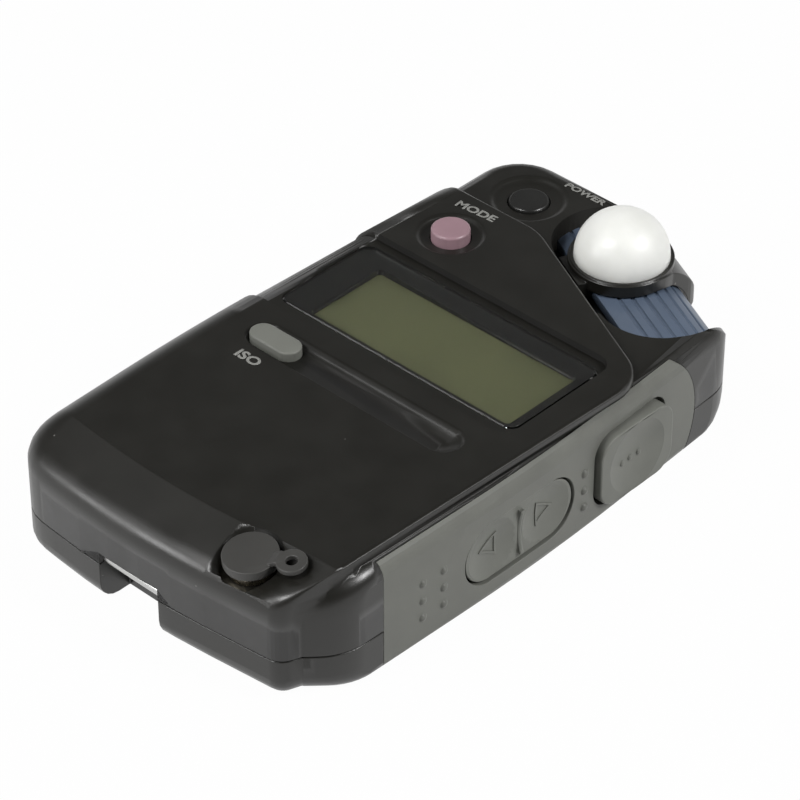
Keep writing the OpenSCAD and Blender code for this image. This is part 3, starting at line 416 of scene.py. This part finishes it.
def metal(name, colour, roughness, streak):
    """A brushed or plated metal: streaks along x in the roughness and colour."""
    mat = bpy.data.materials.new(name)
    mat.use_nodes = True
    tree = mat.node_tree
    shader = tree.nodes["Principled BSDF"]
    shader.inputs["Metallic"].default_value = 1.0
    place = tree.nodes.new("ShaderNodeTexCoord").outputs["Object"]
    along = tree.nodes.new("ShaderNodeMapping")
    along.inputs["Scale"].default_value = (0.06, 1.0, 1.0)
    tree.links.new(place, along.inputs["Vector"])
    skin = link_group(tree, grain, along.outputs["Vector"], Scale=6000.0)
    worn = link_group(tree, rub, place, Reach=0.0003)
    dark = tuple(c * 0.72 for c in colour)
    base = blend_colour(tree, skin.outputs["Height"], dark, colour)
    wear = math_node(tree, "MULTIPLY", worn.outputs["Mask"], 0.5)
    base = blend_colour(tree, wear, base, bright_rub)
    tree.links.new(base, shader.inputs["Base Color"])
    rough = math_node(tree, "MULTIPLY_ADD", skin.outputs["Height"], streak, roughness)
    tree.links.new(rough, shader.inputs["Roughness"])
    return mat


metal("steel", (0.62, 0.62, 0.61), 0.22, 0.25)
metal("nickel", (0.66, 0.64, 0.60), 0.15, 0.15)
socket_brass = metal("socket_brass", (0.62, 0.56, 0.44), 0.18, 0.2)
print("materials with the metals:", len(bpy.data.materials))

# %% [markdown]
# ## Window
# The window is a thin clear pane with a polished edge. A Glass shader would do, but the
# Principled shader with full transmission takes the same roughness as the other finishes, so
# the pane gets fine handling marks too.

# %% Window
mark_rough = 0.03


def clear(name, tint, roughness):
    """A clear plastic: plain transmission with a cloud of fine handling marks in the roughness."""
    mat = bpy.data.materials.new(name)
    mat.use_nodes = True
    tree = mat.node_tree
    shader = tree.nodes["Principled BSDF"]
    shader.inputs["Base Color"].default_value = tint + (1.0,)
    shader.inputs["Transmission Weight"].default_value = 1.0
    shader.inputs["IOR"].default_value = 1.49
    place = tree.nodes.new("ShaderNodeTexCoord").outputs["Object"]
    skin = link_group(tree, grain, place, Scale=2600.0)
    rough = math_node(tree, "MULTIPLY_ADD", skin.outputs["Cloud"], mark_rough, roughness)
    tree.links.new(rough, shader.inputs["Roughness"])
    return mat


window_clear = clear("window_clear", (0.90, 0.91, 0.89), 0.02)
clear("lens_clear", (0.92, 0.95, 0.95), 0.02)
print("materials with the clear ones:", len(bpy.data.materials))

# %% [markdown]
# ## Display and dome
# The display behind the window is olive and faintly mottled. The dome is a milky plastic:
# light goes into it and comes out again beside where it went in. A plain white would look
# like chalk, so its shader gets subsurface scattering under a satin gloss.

# %% Display and dome
plastic("display_olive", (0.215, 0.222, 0.113), 0.5, grain_scale=1500.0, grain_depth=0.05, rubbed=0.0,
        dusty=0.0, specular=0.3)
dome_white = plastic("dome_white", (0.85, 0.855, 0.805), 0.35, grain_scale=3500.0, grain_depth=0.04,
                     rubbed=0.0, dusty=0.06)
milk = dome_white.node_tree.nodes["Principled BSDF"]
milk.inputs["Subsurface Weight"].default_value = 0.6
milk.inputs["Subsurface Radius"].default_value = (1.0, 1.0, 0.95)
milk.inputs["Subsurface Scale"].default_value = 0.003
print("materials:", [m.name for m in bpy.data.materials])

# %% [markdown]
# ## Softened mouldings
# Nothing that comes out of a mould has a knife edge. A copy of each visible solid is merged,
# where its faces are flat they are joined, and a Bevel modifier rounds its sharp edges by one
# to three tenths of a millimetre. The construction mesh itself is left alone, as it is the
# frame that everything else is measured from. A rounded edge also bends the shading of the
# flat beside it, so a Weighted Normal modifier follows. It is told by face strength which
# faces lead: level ones first, then wide ones, then the rest.

# %% Ranking the faces
groove_floor = 20.7 * MM
groove_middle = -11.5 * MM
groove_half = 3 * MM
on_floor = 0.01 * MM
wide_area = 12 * MM * MM
square_on = 0.9999
same_plane = math.radians(0.1)


def in_groove(place):
    """True on the floor of the shallow groove that runs to the right of the film speed key."""
    return abs(place.z - groove_floor) < on_floor and abs(place.y - groove_middle) < groove_half


def flat_first(piece):
    """Ranks level faces over wide ones, and these over the rest, so that rounded edges leave them flat."""
    for edge in piece.data.edges:
        if all(in_groove(piece.data.vertices[v].co) for v in edge.vertices):
            edge.use_edge_sharp = False
    tests = (("WEAK", lambda face: True),
             ("MEDIUM", lambda face: face.area > wide_area or abs(face.normal.x) > square_on),
             ("STRONG", lambda face: abs(face.normal.z) > square_on))
    for strength, wanted in tests:
        for face in piece.data.polygons:
            face.select = wanted(face) and not (strength != "WEAK" and in_groove(face.center))
        bpy.ops.object.mode_set(mode="EDIT")
        if strength == "MEDIUM":
            bpy.ops.mesh.faces_select_linked_flat(sharpness=same_plane)
        bpy.ops.mesh.mod_weighted_strength(set=True, face_strength=strength)
        bpy.ops.object.mode_set(mode="OBJECT")


# %% Softening
weld = 0.002 * MM
flat_within = math.radians(0.4)
sharp_from = 30.0


def softened(node, body, material, edge, name, segments=2, join=True, crisp=None):
    """A copy of a solid with its sharp edges rounded by edge mm, standing for that solid.

    join makes whole faces of flat triangles, and is off where that would spoil a curve. crisp is
    the angle in degrees from which a shallow edge, such as a dish's rim, still shows.
    """
    bpy.ops.object.select_all(action="DESELECT")
    source = frame["nodes"][node]
    piece = bpy.data.objects.new(name, source.data.copy())
    scene.collection.objects.link(piece)
    bpy.context.view_layer.objects.active = piece
    piece.select_set(True)
    bpy.ops.object.mode_set(mode="EDIT")
    bpy.ops.mesh.select_all(action="SELECT")
    bpy.ops.mesh.remove_doubles(threshold=weld)
    if join:
        bpy.ops.mesh.dissolve_limited(angle_limit=flat_within)
    bpy.ops.object.mode_set(mode="OBJECT")
    bpy.ops.object.shade_smooth_by_angle(angle=math.radians(crisp or sharp_from))
    if edge > 0:
        rounding = piece.modifiers.new("edge_round", "BEVEL")
        rounding.width = edge * MM
        rounding.segments = segments
        rounding.limit_method = "ANGLE"
        rounding.angle_limit = math.radians(sharp_from)
        rounding.use_clamp_overlap = False
        rounding.miter_outer = "MITER_ARC"
        bpy.ops.object.modifier_apply(modifier=rounding.name)
    if not crisp:
        bpy.ops.object.shade_smooth_by_angle(angle=math.radians(sharp_from))
    flat_first(piece)
    even = piece.modifiers.new("even_shading", "WEIGHTED_NORMAL")
    even.mode = "CORNER_ANGLE"
    even.keep_sharp = True
    even.use_face_influence = True
    bpy.ops.object.modifier_apply(modifier=even.name)
    piece.data.materials.clear()
    piece.data.materials.append(material)
    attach(piece, body)
    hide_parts(node)
    print(name, len(piece.data.polygons), "faces")
    return piece


# %% [markdown]
# ## Finishes on every solid
# The pieces inside the case, such as the board, the cell and the switches, keep the shape that
# the construction model gives them. They could be left grey, because they rarely show, but the
# part may be opened, so each gets the finish that its record names.

# %% Finishes on every solid
finishes = {m.name: m for m in bpy.data.materials}
for sub in frame["record"]["subparts"]:
    node = frame["nodes"][sub["node"]]
    node.data.materials.clear()
    node.data.materials.append(finishes[sub["material_slot"]])
print("finished nodes:", len(frame["nodes"]))

# %% [markdown]
# ## Case, grip and keys
# These are the pieces that show. Each could be modelled afresh, but then it would drift from
# its solid, so each is a softened copy. The front of the case has its rounding in the solid
# already and only gets even shading. The side keys have hollow dishes, whose small faces
# stay apart, and a crisp rim.

# %% Case, grip and keys
front_case = softened("front_shell", "meter", shell_black, 0.0, "front_case", join=False)
softened("rear_shell", "meter", shell_black, 0.12, "rear_case")
softened("side_grip", "meter", grip_grey, 0.1, "grip_panel")
dish_rim = 15
softened("measure_button", "measure_key", key_grey, 0.25, "measure_key_cap", 3, join=False, crisp=dish_rim)
rocker_cap = softened("up_down_rocker", "rocker", key_grey, 0.1, "rocker_cap", join=False, crisp=dish_rim)
softened("film_speed_button", "film_speed_key", key_grey, 0.3, "film_speed_cap", 3)
softened("mode_button", "mode_key", key_pink, 0.3, "mode_cap", 3)
softened("power_button", "power_key", key_black, 0.3, "power_cap", 3)
softened("slide_track", "meter", track_blue, 0.08, "track_skin")
softened("dome_carriage", "dome", shell_black, 0.15, "dome_holder")
softened("diffuser_dome", "dome", dome_white, 0.0, "white_dome")
softened("sync_socket", "meter", socket_brass, 0.12, "socket_ring")
softened("sync_cap", "socket_cap", cap_rubber, 0.15, "socket_plug", 3, join=False)
softened("display_window", "meter", window_clear, 0.3, "window_pane", 1)
softened("battery_door", "battery_cover", shell_black, 0.12, "battery_lid")

# %% [markdown]
# ## Printed legends
# The words beside the keys are pad printed in a pale ink, so thin that they follow every
# curve. A texture could carry them, but letters made as a mesh stay sharp at any distance.
# A text object is turned into a mesh, laid over the case, pressed down on it with a
# Shrinkwrap modifier and given the thickness of a coat of ink.

# %% Pressing a mark on


def pressed_on(piece, target, axis, lift, thickness):
    """Lays a flat piece on a surface, along an axis, with a lift and a thickness in mm."""
    wrap = piece.modifiers.new("press", "SHRINKWRAP")
    wrap.target = target
    wrap.wrap_method = "PROJECT"
    wrap.use_project_x = axis == "X"
    wrap.use_project_z = axis == "Z"
    wrap.use_negative_direction = True
    wrap.use_positive_direction = False
    wrap.offset = lift * MM
    bpy.ops.object.modifier_apply(modifier=wrap.name)
    coat = piece.modifiers.new("coat", "SOLIDIFY")
    coat.thickness = thickness * MM
    coat.offset = 1.0
    bpy.ops.object.modifier_apply(modifier=coat.name)


# %% Legends
letter_squash = 0.84
stroke_gain = 0.1 * MM
over_case = 26
ink_lift, ink_coat = 0.02, 0.015


def legend(word, width, middle, turn):
    """A printed word of a given width in mm, its middle on the case at x, y, turned by degrees."""
    bpy.ops.object.select_all(action="DESELECT")
    bpy.ops.object.text_add(location=(0, 0, 0))
    text = bpy.context.object
    text.data.body = word
    text.data.align_x = "CENTER"
    text.data.align_y = "CENTER"
    text.data.size = 3 * MM
    text.data.resolution_u = 4
    text.data.offset = stroke_gain
    bpy.ops.object.convert(target="MESH")
    piece = bpy.context.object
    piece.name = "legend_" + word.lower()
    fit = width * MM / piece.dimensions.x
    piece.scale = (fit, fit * letter_squash, 1)
    piece.rotation_euler = (0, 0, math.radians(turn))
    piece.location = (middle[0] * MM, middle[1] * MM, over_case * MM)
    bpy.ops.object.transform_apply(location=True, rotation=True, scale=True)
    bpy.ops.object.mode_set(mode="EDIT")
    bpy.ops.mesh.select_all(action="SELECT")
    bpy.ops.mesh.remove_doubles(threshold=0.005 * MM)
    bpy.ops.mesh.quads_convert_to_tris()
    bpy.ops.mesh.subdivide(number_cuts=2)
    bpy.ops.object.mode_set(mode="OBJECT")
    pressed_on(piece, front_case, "Z", ink_lift, ink_coat)
    piece.data.materials.clear()
    piece.data.materials.append(legend_ink)
    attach(piece, "meter")
    print(piece.name, len(piece.data.polygons), "faces")


legend("POWER", 8.2, (-9.7, 51.95), 0.4)
legend("MODE", 7.6, (-17.7, 34.65), 4.6)
legend("ISO", 4.6, (-16.55, -17.4), 1.0)

# %% [markdown]
# ## Triangles on the rocker
# A thumb finds the halves of the rocker without looking: each has a raised triangle that points
# along the case. It could be cut from a plate with a Boolean, but a three-sided circle whose
# face is inset leaves the same ring, and the ring is pressed into the dish as the legends are.

# %% Triangles on the rocker
rocker_y, rocker_z = -8.3, 9.1
rocker_half = 5.6
beside_case = 34
arrow_r, arrow_line = 2.55, 0.38
arrow_sink, arrow_rise, arrow_edge = 0.03, 0.22, 0.05


def arrow(name, middle_y, way):
    """A raised triangular outline in one dish of the rocker, pointing along +y or -y."""
    bpy.ops.object.select_all(action="DESELECT")
    bpy.ops.mesh.primitive_circle_add(vertices=3, radius=arrow_r * MM, fill_type="NGON", location=(0, 0, 0))
    piece = bpy.context.object
    piece.name = name
    bpy.ops.object.mode_set(mode="EDIT")
    bpy.ops.mesh.select_all(action="SELECT")
    bpy.ops.mesh.inset(thickness=arrow_line * MM)
    bpy.ops.mesh.delete(type="FACE")
    bpy.ops.mesh.select_all(action="SELECT")
    bpy.ops.mesh.subdivide(number_cuts=5)
    bpy.ops.object.mode_set(mode="OBJECT")
    spin = Matrix(((0, 0, 1), (0, way, 0), (-way, 0, 0))).to_4x4()
    piece.data.transform(spin)
    piece.data.transform(Matrix.Translation(Vector((beside_case, middle_y, rocker_z)) * MM))
    pressed_on(piece, rocker_cap, "X", -arrow_sink, arrow_rise)
    soft = piece.modifiers.new("soft", "BEVEL")
    soft.width = arrow_edge * MM
    soft.segments = 2
    soft.limit_method = "ANGLE"
    soft.angle_limit = math.radians(50)
    bpy.ops.object.modifier_apply(modifier=soft.name)
    bpy.ops.object.shade_smooth_by_angle(angle=math.radians(35))
    piece.data.materials.append(key_grey)
    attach(piece, "rocker")
    print(name, len(piece.data.polygons), "faces")


arrow("arrow_up", rocker_y + rocker_half, 1)
arrow("arrow_down", rocker_y - rocker_half, -1)

# %% [markdown]
# ## Pips on the measuring key
# Three pips in the dish tell the thumb that this is the key that measures. They could be whole
# balls that are sunk in the key, but then half of each would be wasted inside it. So each is
# a flattened ball that is cut off just under the dish. The dish is part of a large sphere, so
# its depth at each place follows from its radius.

# %% Pips on the measuring key
pip_ys = (14.3, 16.3, 18.3)
pip_x, pip_z = 30.72, 8.8
pip_r, pip_flat = 0.52, 0.75
cut_x = 30.66
dish_y, dish_r = 17, 20
over_middle = 0.5
for k, y in enumerate(pip_ys):
    bpy.ops.object.select_all(action="DESELECT")
    dip = ((y - dish_y) ** 2 + over_middle ** 2) / (2 * dish_r)
    bpy.ops.mesh.primitive_uv_sphere_add(segments=20, ring_count=12, radius=pip_r * MM,
                                         location=((pip_x + dip) * MM, y * MM, pip_z * MM))
    pip = bpy.context.object
    pip.name = "measure_pip_" + str(k)
    pip.scale = (pip_flat, 1, 1)
    bpy.ops.object.transform_apply(location=True, rotation=True, scale=True)
    bpy.ops.object.mode_set(mode="EDIT")
    bpy.ops.mesh.select_all(action="SELECT")
    cut_place = ((cut_x + dip) * MM, 0, 0)
    bpy.ops.mesh.bisect(plane_co=cut_place, plane_no=(1, 0, 0), use_fill=True, clear_inner=True)
    bpy.ops.object.mode_set(mode="OBJECT")
    bpy.ops.object.shade_smooth_by_angle(angle=math.radians(40))
    pip.data.materials.append(key_grey)
    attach(pip, "measure_key")
print("pips on the measuring key:", len(pip_ys))

# %% [markdown]
# ## Finish
# The view layer is updated once more, so that every piece stands in its place.

# %% Finish
bpy.context.view_layer.update()
